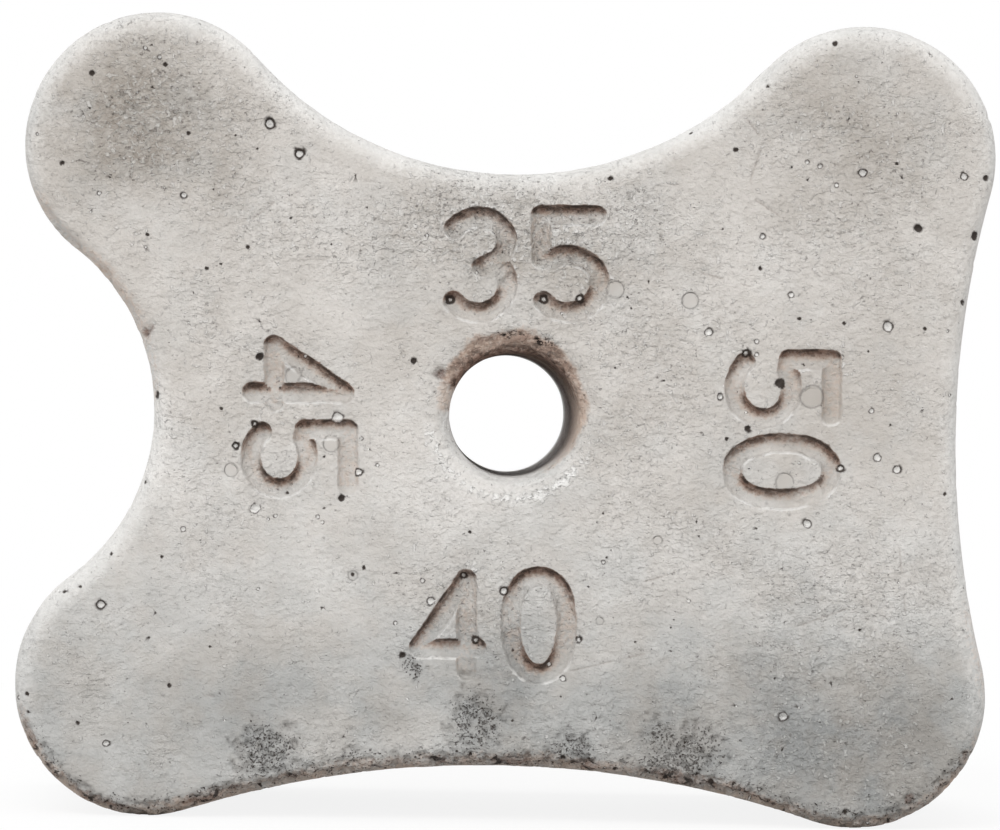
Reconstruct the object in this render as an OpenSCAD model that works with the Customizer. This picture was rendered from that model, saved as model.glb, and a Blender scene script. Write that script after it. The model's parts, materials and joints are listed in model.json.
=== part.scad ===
// Cast concrete spacer block that holds reinforcing bars off the formwork.
// A bar lies in one of four saddles while the block stands on the two round
// feet opposite it, so each saddle gives its bar its own depth of cover.
//
// X runs across the block, Y through its thickness and Z up. The front face,
// which is the mould's floor, looks along -Y. The origin lies on the ground
// midway between the two lower feet, and midway through the thickness.

/* [Covers] */
// Cover that the top saddle gives, down to the lower feet
top_cover = 35; // [30:0.5:41]
// Cover that the bottom saddle gives, up to the upper feet
bottom_cover = 40; // [36:0.5:45]
// Cover that the left saddle gives, across to the right feet
left_cover = 45; // [40:0.5:51]
// Cover that the right saddle gives, across to the left feet
right_cover = 50; // [46:0.5:56]

/* [Body] */
// How far the lower feet reach past the bottom saddle
bottom_depth = 3; // [1:0.25:6]
// How far the right feet reach past the right saddle
right_depth = 2; // [1:0.25:6]
// Radius of each round foot
foot_r = 7.1; // [5:0.1:8.5]
// Thickness, from the front face to the back face
block_t = 25; // [16:0.5:36]

/* [Tie hole] */
// Diameter of the hole that the tie wire goes through
hole_d = 6.6; // [4:0.1:9]
// How far the hole lies to the right of the middle
hole_dx = 0.3; // [-2:0.1:2]
// How far the hole lies above the middle
hole_dz = 0.3; // [-2:0.1:2]
// Radius of the rounded mouth on the front face
front_mouth_r = 1.2; // [0.3:0.1:2.5]
// Radius of the rounded mouth on the back face
back_mouth_r = 0.5; // [0.2:0.1:2]

/* [Edges] */
// Radius of the outer edge on the front face
front_edge_r = 1.2; // [0.3:0.1:2.5]
// Radius of the outer edge on the back face
back_edge_r = 0.5; // [0.2:0.1:2]

/* [Hidden] */

$fn = 96;
concrete = "#cdc8c0";

// A cutter runs this far past the faces that it opens
overrun = 2;
// The arc of a saddle bites this far into the feet that it blends with, so
// that the two surfaces cross instead of only touching
bite = 0.01;

// Size over the feet, which is a cover and the depth of its own saddle
block_h = bottom_cover + bottom_depth;
block_w = right_cover + right_depth;

// Foot centres in the plane of the front face, clockwise from the upper left
feet = [
  [-block_w / 2 + foot_r, block_h - foot_r],
  [block_w / 2 - foot_r, block_h - foot_r],
  [block_w / 2 - foot_r, foot_r],
  [-block_w / 2 + foot_r, foot_r]
];

// How far the feet reach past each saddle, in the order top, right, bottom,
// left. Saddle i lies between foot i and the foot after it.
saddle_depth = [
  block_h - top_cover,
  right_depth,
  bottom_depth,
  block_w - left_cover
];

function next(i) = (i + 1) % 4;
function prev(i) = (i + 3) % 4;
function unit(v) = v / norm(v);

// Half the distance between the two feet beside saddle i
function half_span(i) = norm(feet[next(i)] - feet[i]) / 2;

// The arc of a saddle blends with both of its feet. Its centre is as far from
// a foot's centre as the two radii together, less the bite, which gives a
// right-angled triangle on half the span:
// (r + foot_r - bite)^2 = half_span^2 + (r + foot_r - depth)^2
function saddle_r(i) =
  (half_span(i) ^ 2 + saddle_depth[i] ^ 2 - bite ^ 2)
  / (2 * (saddle_depth[i] - bite)) - foot_r;

// Way out of the block at saddle i, square to the line between its feet
function outward(i) =
  let (along = unit(feet[next(i)] - feet[i]))
  [-along.y, along.x];

function saddle_centre(i) =
  (feet[i] + feet[next(i)]) / 2
  + outward(i) * (saddle_r(i) + foot_r - saddle_depth[i]);

// Where the foot's arc runs into the arc of saddle i
function meeting(foot, i) =
  feet[foot] + (foot_r - bite / 2) * unit(saddle_centre(i) - feet[foot]);

// Plate between the feet, which reaches over the mouths of the saddles
core_outline = [
  for (i = [0:3])
    each [meeting(i, prev(i)), feet[i], meeting(i, i)]
];

// Quarter of a disc, in the quadrant that starts at the given angle
module quarter_disc(r, start) {
  intersection() {
    circle(r);
    rotate(start) square(2 * r);
  }
}

// Half section of a foot: its axis at x = 0, its front face at y = 0
module foot_section() {
  polygon([
    [0, 0],
    [foot_r - front_edge_r, 0],
    [foot_r - front_edge_r, front_edge_r],
    [foot_r, front_edge_r],
    [foot_r, block_t - back_edge_r],
    [foot_r - back_edge_r, block_t - back_edge_r],
    [foot_r - back_edge_r, block_t],
    [0, block_t]
  ]);
  translate([foot_r - front_edge_r, front_edge_r])
    quarter_disc(front_edge_r, -90);
  translate([foot_r - back_edge_r, block_t - back_edge_r])
    quarter_disc(back_edge_r, 0);
}

// Half section of what a saddle or the hole takes out of the block. It has
// radius r and flares over the two rounded edges.
module opening_section(r, front_r, back_r) {
  difference() {
    polygon([
      [0, -overrun],
      [r + front_r, -overrun],
      [r + front_r, front_r],
      [r, front_r],
      [r, block_t - back_r],
      [r + back_r, block_t - back_r],
      [r + back_r, block_t + overrun],
      [0, block_t + overrun]
    ]);
    translate([r + front_r, front_r])
      quarter_disc(front_r, 180);
    translate([r + back_r, block_t - back_r])
      quarter_disc(back_r, 90);
  }
}

// Foot i, as a round post through the whole thickness
module foot(i) {
  translate(feet[i])
    rotate_extrude()
      foot_section();
}

// Saddle i, as the solid that it takes away
module saddle(i) {
  translate(saddle_centre(i))
    rotate_extrude()
      opening_section(saddle_r(i), front_edge_r, back_edge_r);
}

module tie_hole() {
  translate([hole_dx, block_h / 2 + hole_dz])
    rotate_extrude()
      opening_section(hole_d / 2, front_mouth_r, back_mouth_r);
}

// The block lying on its front face, with the face's outline in X and Y
module lying_block() {
  difference() {
    union() {
      linear_extrude(block_t)
        polygon(core_outline);
      for (i = [0:3]) foot(i);
    }
    for (i = [0:3]) saddle(i);
    tie_hole();
  }
}

module spacer_block() {
  color(concrete)
    translate([0, -block_t / 2, 0])
      rotate([90, 0, 0])
        mirror([0, 0, 1])
          lying_block();
}

spacer_block();
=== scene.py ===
import json
import math
import bpy
import numpy as np
from mathutils import Matrix, Vector
from mathutils.geometry import delaunay_2d_cdt


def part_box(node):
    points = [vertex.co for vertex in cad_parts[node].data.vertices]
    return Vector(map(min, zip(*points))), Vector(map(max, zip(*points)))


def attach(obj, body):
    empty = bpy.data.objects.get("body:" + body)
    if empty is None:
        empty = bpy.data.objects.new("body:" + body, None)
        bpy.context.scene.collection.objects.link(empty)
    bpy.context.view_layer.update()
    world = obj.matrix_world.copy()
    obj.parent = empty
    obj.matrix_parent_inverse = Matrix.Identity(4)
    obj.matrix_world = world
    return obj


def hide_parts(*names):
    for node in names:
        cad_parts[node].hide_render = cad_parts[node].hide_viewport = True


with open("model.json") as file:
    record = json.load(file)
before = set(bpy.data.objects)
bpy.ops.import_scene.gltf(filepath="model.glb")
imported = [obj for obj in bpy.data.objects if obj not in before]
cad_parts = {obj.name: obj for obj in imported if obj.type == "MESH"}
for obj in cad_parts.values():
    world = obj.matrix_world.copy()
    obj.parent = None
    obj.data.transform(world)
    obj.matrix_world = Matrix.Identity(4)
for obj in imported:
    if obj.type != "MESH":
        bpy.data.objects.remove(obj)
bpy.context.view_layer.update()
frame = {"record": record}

scene = bpy.context.scene
mm = 0.001  # every length below is in millimetres until a mesh is written
print("frame loaded")


# sizes from the frame
_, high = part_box("spacer_block")
mounts = {m["name"]: m for m in frame["record"]["mounts"]}
halfWide = high.x / mm
halfThick = high.y / mm
height = high.z / mm
holeX, _, holeZ = (c / mm for c in mounts["tie_hole"]["pos_m"])
holeRadius = mounts["tie_hole"]["dims"]["r_mm"]

block = {
    "footRadius": 7.1,    # the round feet at the corners
    "edge": (1.2, 0.5),   # rounding of the outer edge, front and back
    "mouth": (1.2, 0.5),  # rounding of the hole's mouth, front and back
    "rimStep": 0.25,      # spacing of the mesh along the outline,
    "mouthStep": 0.2,     # round the hole,
    "openStep": 0.3,      # on open ground,
    "wallStep": 0.66,     # on the side walls,
    "backStep": 0.8,      # on the back face,
    "poreStep": 0.135,    # and where the face is porous
    "lowerReach": 2.7,    # how far the porous lower edge reaches down the wall
    "weld": 0.004,        # points of two skins this close are one
    # how much deeper than drawn each saddle is cast: top, right, bottom, left
    "castDepth": (0.3, -0.15, 0, 0.15),
}


# The outline: feet and saddles by turns, clockwise from the upper left foot. A
# saddle's arc touches both of its feet, so its radius is
# (halfSpan^2 + depth^2) / (2 depth) - footRadius.
def outlineArcs():
    r = block["footRadius"]
    x, z = halfWide - r, height - r
    feet = np.array([[-x, z], [x, z], [x, r], [-x, r]])
    nextFeet = np.roll(feet, -1, 0)
    saddle = lambda cover, axis: mounts["saddle_" + cover]["pos_m"][axis] / mm
    depths = np.array(block["castDepth"]) + [
        height - saddle("35", 2), halfWide - saddle("50", 0), saddle("40", 2), halfWide + saddle("45", 0)]
    outward = np.array([[0, 1], [1, 0], [0, -1], [-1, 0]])
    halfSpans = np.linalg.norm(nextFeet - feet, axis=1) / 2
    radii = (halfSpans ** 2 + depths ** 2) / (2 * depths) - r
    centres = (feet + nextFeet) / 2 + outward * (radii + r - depths)[:, None]
    heading = lambda v: math.atan2(v[1], v[0])
    arcs = []
    for i in range(4):
        start = heading(centres[i - 1] - feet[i])
        sweep = -((start - heading(centres[i] - feet[i])) % (2 * math.pi))
        arcs.append([*feet[i], r, start, sweep, 1])
        start = heading(feet[i] - centres[i])
        sweep = (heading(nextFeet[i] - centres[i]) - start) % (2 * math.pi)
        arcs.append([*centres[i], radii[i], start, sweep, -1])
    return np.array(arcs)


arcs = outlineArcs()
arcEnds = np.cumsum(np.abs(arcs[:, 2] * arcs[:, 4]))
perimeter = arcEnds[-1]


def spokes(angles):
    return np.stack([np.cos(angles), np.sin(angles)], -1)


def unit(ways):
    return ways / np.linalg.norm(ways, axis=1)[:, None]


# Point and outward normal at distance s along the outline
def outlineAt(s):
    s = np.asarray(s) % perimeter
    i = np.minimum(np.searchsorted(arcEnds, s, side="right"), 7)
    begun = arcEnds[i] - np.abs(arcs[i, 2] * arcs[i, 4])
    angle = arcs[i, 3] + np.sign(arcs[i, 4]) * (s - begun) / arcs[i, 2]
    spoke = spokes(angle)
    return arcs[i, :2] + arcs[i, 2:3] * spoke, spoke * arcs[i, 5:6]


# Section of a wall, a straight between quarter arcs: how far it lies inside the
# outline, and its y, at distance v from the front face's flat
def wallSection(v, frontR, backR):
    bend = frontR * math.pi / 2
    straight = 2 * halfThick - frontR - backR
    a = np.clip(v / frontR, 0, math.pi / 2)
    b = np.clip((v - bend - straight) / backR, 0, math.pi / 2)
    inset = frontR * (1 - np.sin(a)) + backR * (1 - np.cos(b))
    y = -halfThick + frontR * (1 - np.cos(a)) + np.clip(v - bend, 0, straight) + backR * np.sin(b)
    return inset, y


def wallLength(frontR, backR):
    return (frontR + backR) * (math.pi / 2 - 1) + 2 * halfThick


# Rows down a section, so many round its front edge and down its straight
def sectionRows(frontR, backR, rounding, straight):
    end = wallLength(frontR, backR)
    bend, foot = frontR * math.pi / 2, end - backR * math.pi / 2
    parts = [(0, bend, rounding), (bend, foot, straight), (foot, end, 5)]
    return np.concatenate([[0], *(np.linspace(*part)[1:] for part in parts)])


# Smooth random field from -1 to 1: values on a cubic lattice, blended in between
def cloud(points, size, seed):
    side = 32
    table = np.random.default_rng(seed).uniform(-1, 1, (side, side, side))
    q = points / size + 500
    cell = np.floor(q).astype(int)
    f = q - cell
    f = f * f * (3 - 2 * f)
    total = 0
    for corner in range(8):
        step = np.array([corner & 1, corner >> 1 & 1, corner >> 2 & 1])
        weight = np.prod(np.where(step, f, 1 - f), axis=-1)
        i, j, k = ((cell + step) % side).T
        total = total + weight * table[i, j, k]
    return total


# Climbs from 0 at low to 1 at high
def smooth(low, high, x):
    t = np.clip((x - low) / (high - low), 0, 1)
    return t * t * (3 - 2 * t)


def fade(low, high, x):
    return 1 - smooth(low, high, x)


# Raises some of the values to at least a level
def lift(values, some, level):
    values[some] = np.maximum(values[some], level)


# How far points lie from a spot of the front face, as a share of its reach
def awayFrom(points, x, z, across, up=None):
    return np.hypot((points[:, 0] - x) / across, (points[:, -1] - z) / (up or across))


# Points of a plane, stood up at their y
def standing(flat, y):
    return np.column_stack([flat[:, 0], np.full(len(flat), y), flat[:, 1]])


# The cover marks, as centre lines of strokes sunk into the front face
marks = {
    "halfWidth": 0.54,  # half a stroke's width at the face
    "depth": 0.52,
    "wall": 4.5,        # power of the section: higher makes steeper walls
    "turn": 1.1,        # the marks lie this many degrees off square
    "step": 0.11,       # spacing of the mesh along a stroke
    "rows": (0, 0.14, 0.27, 0.36, 0.425, 0.475, 0.52, 0.56, 0.61, 0.7),
    "clear": 0.8,       # open ground starts this far from a stroke
    # number, upper left corner of its first figure, quarter turns, spacing
    "places": [
        ("35", (-3.03, 32.45), 0, 4.6),
        ("40", (-4.73, 13.2), 0, 5.1),
        ("45", (-8.48, 25.6), -1, 4.65),
        ("50", (17.37, 25.15), -1, 4.5),
    ],
    # where a mark came out shallow: x, z, radius, share lost
    "shallow": [
        (-0.6, 29.9, 0.9, 0.5), (-1.7, 8.5, 0.8, 0.5), (0.1, 10.9, 1.3, 0.45), (16.4, 18.2, 1, 0.5),
    ],
}
scratches = {
    "halfWidth": 0.07,
    "depth": 0.05,
    "step": 0.16,
    "rows": (0, 0.045, 0.09),
    "clear": 0.17,  # as for the marks
    "lines": [
        ((0.6, 7.4), (7.6, 9.2)), ((15.2, 10.6), (18.4, 11.8)), ((7.4, 13), (9.7, 13.7)),
        ((10.2, 29.6), (12.9, 28.9)), ((-14.2, 31.6), (-12.6, 32.9)), ((-17.2, 6.9), (-15.3, 6.5)),
        ((21, 16.2), (21.6, 11)), ((12.4, 38), (13.2, 37)),
        ((13.3, 36.2), (12.8, 34.6), (12.9, 33.8)), ((13.1, 33.5), (14.4, 32.7)),
    ],
}


# An arc of an ellipse as points, from angle a to angle b in degrees. A power
# above 2 squares its shoulders.
def bow(cx, cy, rx, ry, a, b, power=2):
    spoke = spokes(np.radians(np.linspace(a, b, 40)))
    return np.sign(spoke) * np.abs(spoke) ** (2 / power) * (rx, ry) + (cx, cy)


def line(*points):
    return np.array(points, float)


# The strokes of each figure, about 3 mm wide and 5.3 mm tall, with x to the
# right and y up from its top line
figures = {
    "0": [bow(1.53, -2.72, 1.5, 2.62, 90, 450, 2.2)],
    "3": [
        bow(1.33, -1.43, 1.5, 1.28, 150, -60),
        bow(1.3, -3.78, 1.6, 1.47, 52, -144),
        line((2.3, -2.42), (1.55, -2.84)),
    ],
    "4": [line((3.28, -3.95), (0.24, -3.95), (2.78, -0.24), (2.78, -5.15))],
    "5": [
        line((3.05, -0.05), (0.08, -0.05), (0.08, -2.35)),
        np.concatenate([[(0.08, -2.35)], bow(1.55, -3.72, 1.68, 1.52, 122, -142)]),
    ],
}


# Points along a broken line, at most a step apart, with its corners kept
def evenly(path, step):
    sides = zip(path[:-1], path[1:])
    laid = [np.linspace(a, b, int(np.linalg.norm(b - a) / step) + 2)[:-1] for a, b in sides]
    return np.concatenate([*laid, path[-1:]])


def laidOutStrokes():
    strokes = []
    for number, corner, quarters, advance in marks["places"]:
        angle = math.radians(marks["turn"] + 90 * quarters)
        c, s = math.cos(angle), math.sin(angle)
        turn = np.array([[c, s], [-s, c]])
        for place, figure in enumerate(number):
            for stroke in figures[figure]:
                shifted = stroke + [advance * place, 0]
                strokes.append(evenly(shifted @ turn + corner, marks["step"]))
    return strokes


def inPieces(paths):
    return np.concatenate([np.stack([p[:-1], p[1:]], 1) for p in paths])


strokes = laidOutStrokes()
strokePieces = inPieces(strokes)
scratchPaths = [evenly(np.array(ends), scratches["step"]) for ends in scratches["lines"]]
scratchPieces = inPieces(scratchPaths)


# The way to each point from the nearest of many short pieces, at right angles
# or from an end. Points well clear of them all get (9, 0).
def wayFrom(pieces, points, reach=1.2, side=4):
    best = np.tile([9.0, 0.0], (len(points), 1))
    a, b = pieces[:, 0], pieces[:, 1]
    used = {tuple(c) for c in np.floor(pieces.reshape(-1, 2) / side).astype(int)}
    cells = {(i + di, j + dj) for i, j in used for di in (-1, 0, 1) for dj in (-1, 0, 1)}
    for cell in sorted(cells):
        corner = np.array(cell) * side
        inCell = np.flatnonzero(((points >= corner) & (points < corner + side)).all(1))
        near = ((np.maximum(a, b) > corner - reach) & (np.minimum(a, b) < corner + side + reach)).all(1)
        if near.any() and len(inCell):
            best[inCell] = shortestWay(a[near], b[near], points[inCell])
    return best


def shortestWay(a, b, points):
    along = b - a
    away = points[:, None] - a
    t = np.clip((away * along).sum(-1) / (along ** 2).sum(-1), 0, 1)
    way = away - t[..., None] * along
    return way[np.arange(len(points)), np.argmin((way ** 2).sum(-1), 1)]


def distanceTo(pieces, points):
    return np.linalg.norm(wayFrom(pieces, points), axis=1)


# Rows of points beside each path and rings round its ends and corners, where
# this path is the nearest
def rowsAlong(paths, pieces, rows):
    rows = np.array(rows)
    ring = rows[1:, None, None] * spokes(np.radians(np.arange(0, 360, 15)))
    laid = []
    for path in paths:
        way = unit(np.diff(path, axis=0))
        bent = (way[1:] * way[:-1]).sum(1) < 0.9
        way = unit(np.concatenate([way[:1], way[1:] + way[:-1], way[-1:]]))
        side = np.stack([-way[:, 1], way[:, 0]], -1)
        for off in np.concatenate([rows, -rows[1:]]):
            laid.append(np.column_stack([path + off * side, np.full(len(path), abs(off))]))
        for spot in [path[0], path[-1], *path[1:-1][bent]]:
            laid.append(np.column_stack([(spot + ring).reshape(-1, 2), np.repeat(rows[1:], ring.shape[1])]))
    laid = np.concatenate(laid)
    return laid[np.abs(distanceTo(pieces, laid[:, :2]) - laid[:, 2]) < 0.02, :2]


# Bug holes, which air bubbles leave in the cast face
bugHoles = {
    # on the front face: x, z, radius, share of the radius with a pale floor, a painted highlight
    "large": [
        (-12.9, 37.1, 0.3, 0.5), (-11.3, 35.5, 0.32, 0.5), (-17.4, 33.2, 0.17, 0.6), (18.8, 35.1, 0.24, 0.6),
        (24.2, 35, 0.22, 0.6), (-22.4, 39.6, 0.14, 0), (20.3, 26.9, 0.29, 0.7), (10.7, 26.4, 0.22, 0.7),
        (15.1, 28.5, 0.16, 0.7), (21.8, 32.2, 0.2, 0), (23.9, 15.4, 0.27, 0.7), (15.1, 6, 0.24, 0.7),
        (16.2, 16.3, 0.26, 0.7), (-21.4, 11.3, 0.24, 0.6), (-21, 3.9, 0.2, 0.6), (-5, 24.6, 0.16, 0),
        (-13.2, 24.65, 0.22, 0), (-15.2, 21.85, 0.09, 0), (-9, 21.5, 0.29, 0.75), (-14.4, 19.9, 0.2, 0.3),
        (-7.8, 18.6, 0.22, 0.5), (-8.7, 17.2, 0.19, 0), (-13.3, 16.55, 0.26, 0.8), (-12.2, 16.2, 0.11, 0.6),
        (-17.1, 15.4, 0.16, 0.7), (-9.7, 15.9, 0.1, 0.6), (-5.7, 10.6, 0.1, 0.6), (-4.3, 12.9, 0.13, 0.7),
        (-3.85, 11.8, 0.21, 0.65), (-5.3, 8.9, 0.17, 0), (0.05, 12.4, 0.25, 0.5), (4.1, 9.9, 0.18, 0.4),
        (3.3, 7.8, 0.17, 0.6), (11.4, 23, 0.17, 0.6), (14.6, 23.8, 0.28, 0), (13.3, 26, 0.13, 0.7),
        (13.3, 25.3, 0.12, 0.7), (19.5, 22.4, 0.14, 0.7), (19.9, 19.9, 0.2, 0.75), (17.9, 19.3, 0.22, 0.4),
        (20.9, 19.3, 0.22, 0.6), (12.9, 21.3, 0.18, 0), (12, 36.2, 0.13, 0), (15.8, 35.6, 0.12, 0.6),
        (16.5, 35.4, 0.14, 0.5), (17.4, 34.4, 0.12, 0.7), (13.5, 31.6, 0.15, 0.7), (13.4, 29.9, 0.12, 0),
        (-19.6, 41, 0.11, 0.6), (-17.2, 36.5, 0.1, 0),
        # at the ends of the marks
        (-3.1, 27.9, 0.26, 0.3), (1.9, 28, 0.26, 0.3), (3.8, 28.1, 0.22, 0.3), (-13.4, 21.1, 0.2, 0.3),
        (12.75, 25.35, 0.24, 0.3), (-2.1, 13.2, 0.2, 0.3), (-1.4, 9.75, 0.24, 0.3),
    ],
    # bubbles still closed by a thin skin: a fine ring round a smooth disc
    "skinned": [
        (9.7, 28.1, 0.44), (5.7, 28.6, 0.46), (-8, 13.1, 0.27), (8.2, 15.3, 0.25),
        (5.2, 10.9, 0.22), (-11.4, 23.7, 0.44), (-9.3, 20.1, 0.43), (-14.6, 18.6, 0.36),
        (16.3, 23.1, 0.6), (14.9, 18.5, 0.5), (-16.9, 42, 0.42),
    ],
    # porous patches: x, z, reach across, reach up
    "patches": [
        (-12.4, 3.6, 3, 2.8), (-1.3, 5.4, 2.6, 3), (9.4, 4, 4.4, 3), (-4.8, 8.2, 1.2, 1.1),
        (-7.2, 3.2, 2.4, 1.6), (4, 4, 2.2, 1.6), (2, 25.7, 1, 0.6), (0.1, 26.1, 1.2, 0.5),
    ],
    "onFront": 110,  # small ones strewn over the front, and over the back
    "onBack": 60,
    # strewn on the outer wall: count, smallest radius, spread, power of the spread
    "onWalls": (90, 0.12, 0.4, 0.35),
    "underEdge": (30, 0.07, 0.09, 0.4),  # along the lower front edge
    "frontEdge": (22, 0.08, 0.16, 0.5),  # all along the front edge
    "seed": 11,
}


def strewnOnFace(draw, count, smallest, largest, power=0.35):
    tries = np.column_stack([
        draw.uniform(-halfWide, halfWide, 3 * count),
        draw.uniform(0, height, 3 * count),
        smallest + (largest - smallest) * draw.power(power, 3 * count),
    ])
    inside = insideOutline(tries[:, :2], block["edge"][0] + 0.3)
    clear = np.hypot(tries[:, 0] - holeX, tries[:, 1] - holeZ) > holeRadius + 2
    return tries[inside & clear][:count]


def strewnOnWall(draw, along, down, count, smallest, spread, power):
    return np.column_stack([
        draw.uniform(*along, count),
        draw.uniform(*down, count),
        smallest + spread * draw.power(power, count),
    ])


# How far inside the outline points lie, and how much it faces up there
def fromOutline(points, step=0.25, batch=4000):
    rim, out = outlineAt(np.arange(0, perimeter, step))
    gap, facing = np.zeros((2, len(points)))
    for start in range(0, len(points), batch):
        some = slice(start, start + batch)
        away = points[some, None] - rim
        near = np.argmin((away ** 2).sum(-1), 1)
        gap[some] = -(away[np.arange(len(near)), near] * out[near]).sum(-1)
        facing[some] = out[near, 1]
    return gap, facing


def insideOutline(points, margin):
    return fromOutline(points)[0] > margin


def laidOutHoles():
    draw = np.random.default_rng(bugHoles["seed"])
    strewn = strewnOnFace(draw, bugHoles["onFront"], 0.05, 0.12)
    # every third strewn hole gets a painted highlight on its floor
    strewn = np.column_stack([strewn, 0.6 * (np.arange(len(strewn)) % 3 == 0)])
    front = np.concatenate([bugHoles["large"], strewn])
    front = front[insideOutline(front[:, :2], block["edge"][0] * 0.8)]
    around = (2, perimeter - 2)
    wall = np.concatenate([
        strewnOnWall(draw, around, (2.6, wallRun - 1.6), *bugHoles["onWalls"]),
        strewnOnWall(draw, lowerRun, (0.25, 2.3), *bugHoles["underEdge"]),
        strewnOnWall(draw, around, (0.2, 1.5), *bugHoles["frontEdge"]),
    ])
    return front, wall, strewnOnFace(draw, bugHoles["onBack"], 0.12, 0.45)


wallRun = wallLength(*block["edge"])
# the lower edge, from the side of the right foot to that of the left one
lowerRun = np.array([arcEnds[3] + 3, arcEnds[6] - 4])
frontHoles, wallHoles, backHoles = laidOutHoles()
skinnedHoles = np.array(bugHoles["skinned"])


# Rings of points round each hole, closest at its rim, fewer round a small one
def ringsRound(holes):
    small = holes[:, 2] < 0.19
    laid = []
    for some, share, step in (
        (holes[~small], (0, 0.4, 0.56, 0.72, 0.9, 1.03, 1.16, 1.6), 24),
        (holes[small], (0, 0.55, 0.93, 1.12, 1.6), 40),
    ):
        spoke = spokes(np.radians(np.arange(0, 360, step)))
        rings = some[:, None, None, 2:3] * np.array(share)[:, None, None] * spoke
        laid.append((some[:, None, None, :2] + rings).reshape(-1, 2))
    return np.concatenate(laid)


# 1 in the middle of the porous patches, 0 outside them
def inPatches(flat):
    share = np.zeros(len(flat))
    for x, z, across, up in bugHoles["patches"]:
        share = np.maximum(share, fade(0.2, 1, awayFrom(flat, x, z, across, up)))
    return share


# Rows of a triangular lattice, shaken a little so that no line shows
def lattice(low, high, step, seed, shake=0.16):
    rise = step * math.sqrt(3) / 2
    x, z = np.meshgrid(np.arange(low[0], high[0], step), np.arange(low[1], high[1], rise))
    x = x + (np.arange(x.shape[0]) % 2)[:, None] * step / 2
    points = np.stack([x, z], -1).reshape(-1, 2)
    return points + np.random.default_rng(seed).uniform(-shake, shake, points.shape) * step


# Drops points that crowd each other: one is kept in each small square
def thinned(points, size):
    _, first = np.unique(np.round(points / size).astype(int), axis=0, return_index=True)
    return points[np.sort(first)]


# True where a point is clear of all holes and their rings
def farFrom(points, holes, share=1.75):
    ok = np.ones(len(points), bool)
    for x, z, radius in holes:
        ok &= (points[:, 0] - x) ** 2 + (points[:, 1] - z) ** 2 > (radius * share) ** 2
    return ok


# Delaunay's triangles over the points, held to closed rims. One with all corners
# on the outer rim is outside if it turns against the rim, and one with all on
# the second rim, a circle, is in the hole.
def skin(rims, inside):
    edges, start = [], 0
    for rim in rims:
        i = np.arange(len(rim))
        edges += np.column_stack([start + i, start + (i + 1) % len(rim)]).tolist()
        start += len(rim)
    points = np.concatenate([*rims, inside])
    laid, _, faces, *_ = delaunay_2d_cdt([Vector(p) for p in points], edges, [], 1, 1e-6, False)
    laid = np.array([tuple(p) for p in laid])
    faces = np.sort(np.array(faces), axis=1)
    outer = rims[0]
    rimTurn = np.sign(twiceArea(outer, np.roll(outer, -1, 0), np.roll(outer, -2, 0)).sum())
    turn = twiceArea(*(laid[faces[:, k]] for k in range(3)))
    outside = (faces < len(outer)).all(1) & (turn * rimTurn < 1e-9)
    inHole = ((faces >= len(outer)) & (faces < start)).all(1)
    faces[turn < 0] = faces[turn < 0][:, ::-1]
    return laid, faces[~outside & ~inHole]


# Positive where a, b, c turn to the left
def twiceArea(a, b, c):
    return (b[:, 0] - a[:, 0]) * (c[:, 1] - a[:, 1]) - (b[:, 1] - a[:, 1]) * (c[:, 0] - a[:, 0])


rimCount = int(perimeter / block["rimStep"])
rimRun = np.arange(rimCount) / rimCount * perimeter
mouthCount = int(2 * math.pi * (holeRadius + block["mouth"][0]) / block["mouthStep"])
mouthSpoke = spokes(np.arange(mouthCount) / mouthCount * 2 * math.pi)
holeAt = np.array([holeX, holeZ])


# The rims of a flat face, drawn back by the rounding of the edges. Sides are
# 0 for the front, 1 for the back.
def faceRims(side):
    rim, out = outlineAt(rimRun)
    return [rim - block["edge"][side] * out, holeAt + (holeRadius + block["mouth"][side]) * mouthSpoke]


def betweenRims(points, side, fromRim, fromMouth):
    points = points[insideOutline(points, block["edge"][side] + fromRim)]
    away = np.linalg.norm(points - holeAt, axis=1) - holeRadius
    return points[away > block["mouth"][side] + fromMouth]


def openGround(side, step, seed):
    ground = lattice((-halfWide, 0), (halfWide, height), step, seed)
    return betweenRims(ground, side, step * 0.55, step * 0.5)


def frontFace():
    holes = np.concatenate([frontHoles[:, :3], skinnedHoles])
    ground = openGround(0, block["openStep"], 3)
    ground = ground[distanceTo(strokePieces, ground) > marks["clear"]]
    ground = ground[distanceTo(scratchPieces, ground) > scratches["clear"]]
    ground = ground[farFrom(ground, holes) & (inPatches(ground) == 0)]
    tight = lattice((-16, 0), (14, 30), block["poreStep"], 5)
    tight = tight[inPatches(tight) > 0]
    tight = tight[distanceTo(strokePieces, tight) > marks["rows"][-1] + 0.06]
    detail = np.concatenate([
        tight,
        rowsAlong(strokes, strokePieces, marks["rows"]),
        rowsAlong(scratchPaths, scratchPieces, scratches["rows"]),
        ringsRound(holes),
    ])
    detail = thinned(betweenRims(detail, 0, 0.06, 0.06), 0.045)
    flat, faces = skin(faceRims(0), np.concatenate([ground, detail]))
    return standing(flat, -halfThick), faces


def backFace():
    ground = openGround(1, block["backStep"], 4)
    ground = ground[farFrom(ground, backHoles)]
    flat, faces = skin(faceRims(1), np.concatenate([ground, ringsRound(backHoles)]))
    return standing(flat, halfThick), faces[:, ::-1]


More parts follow.
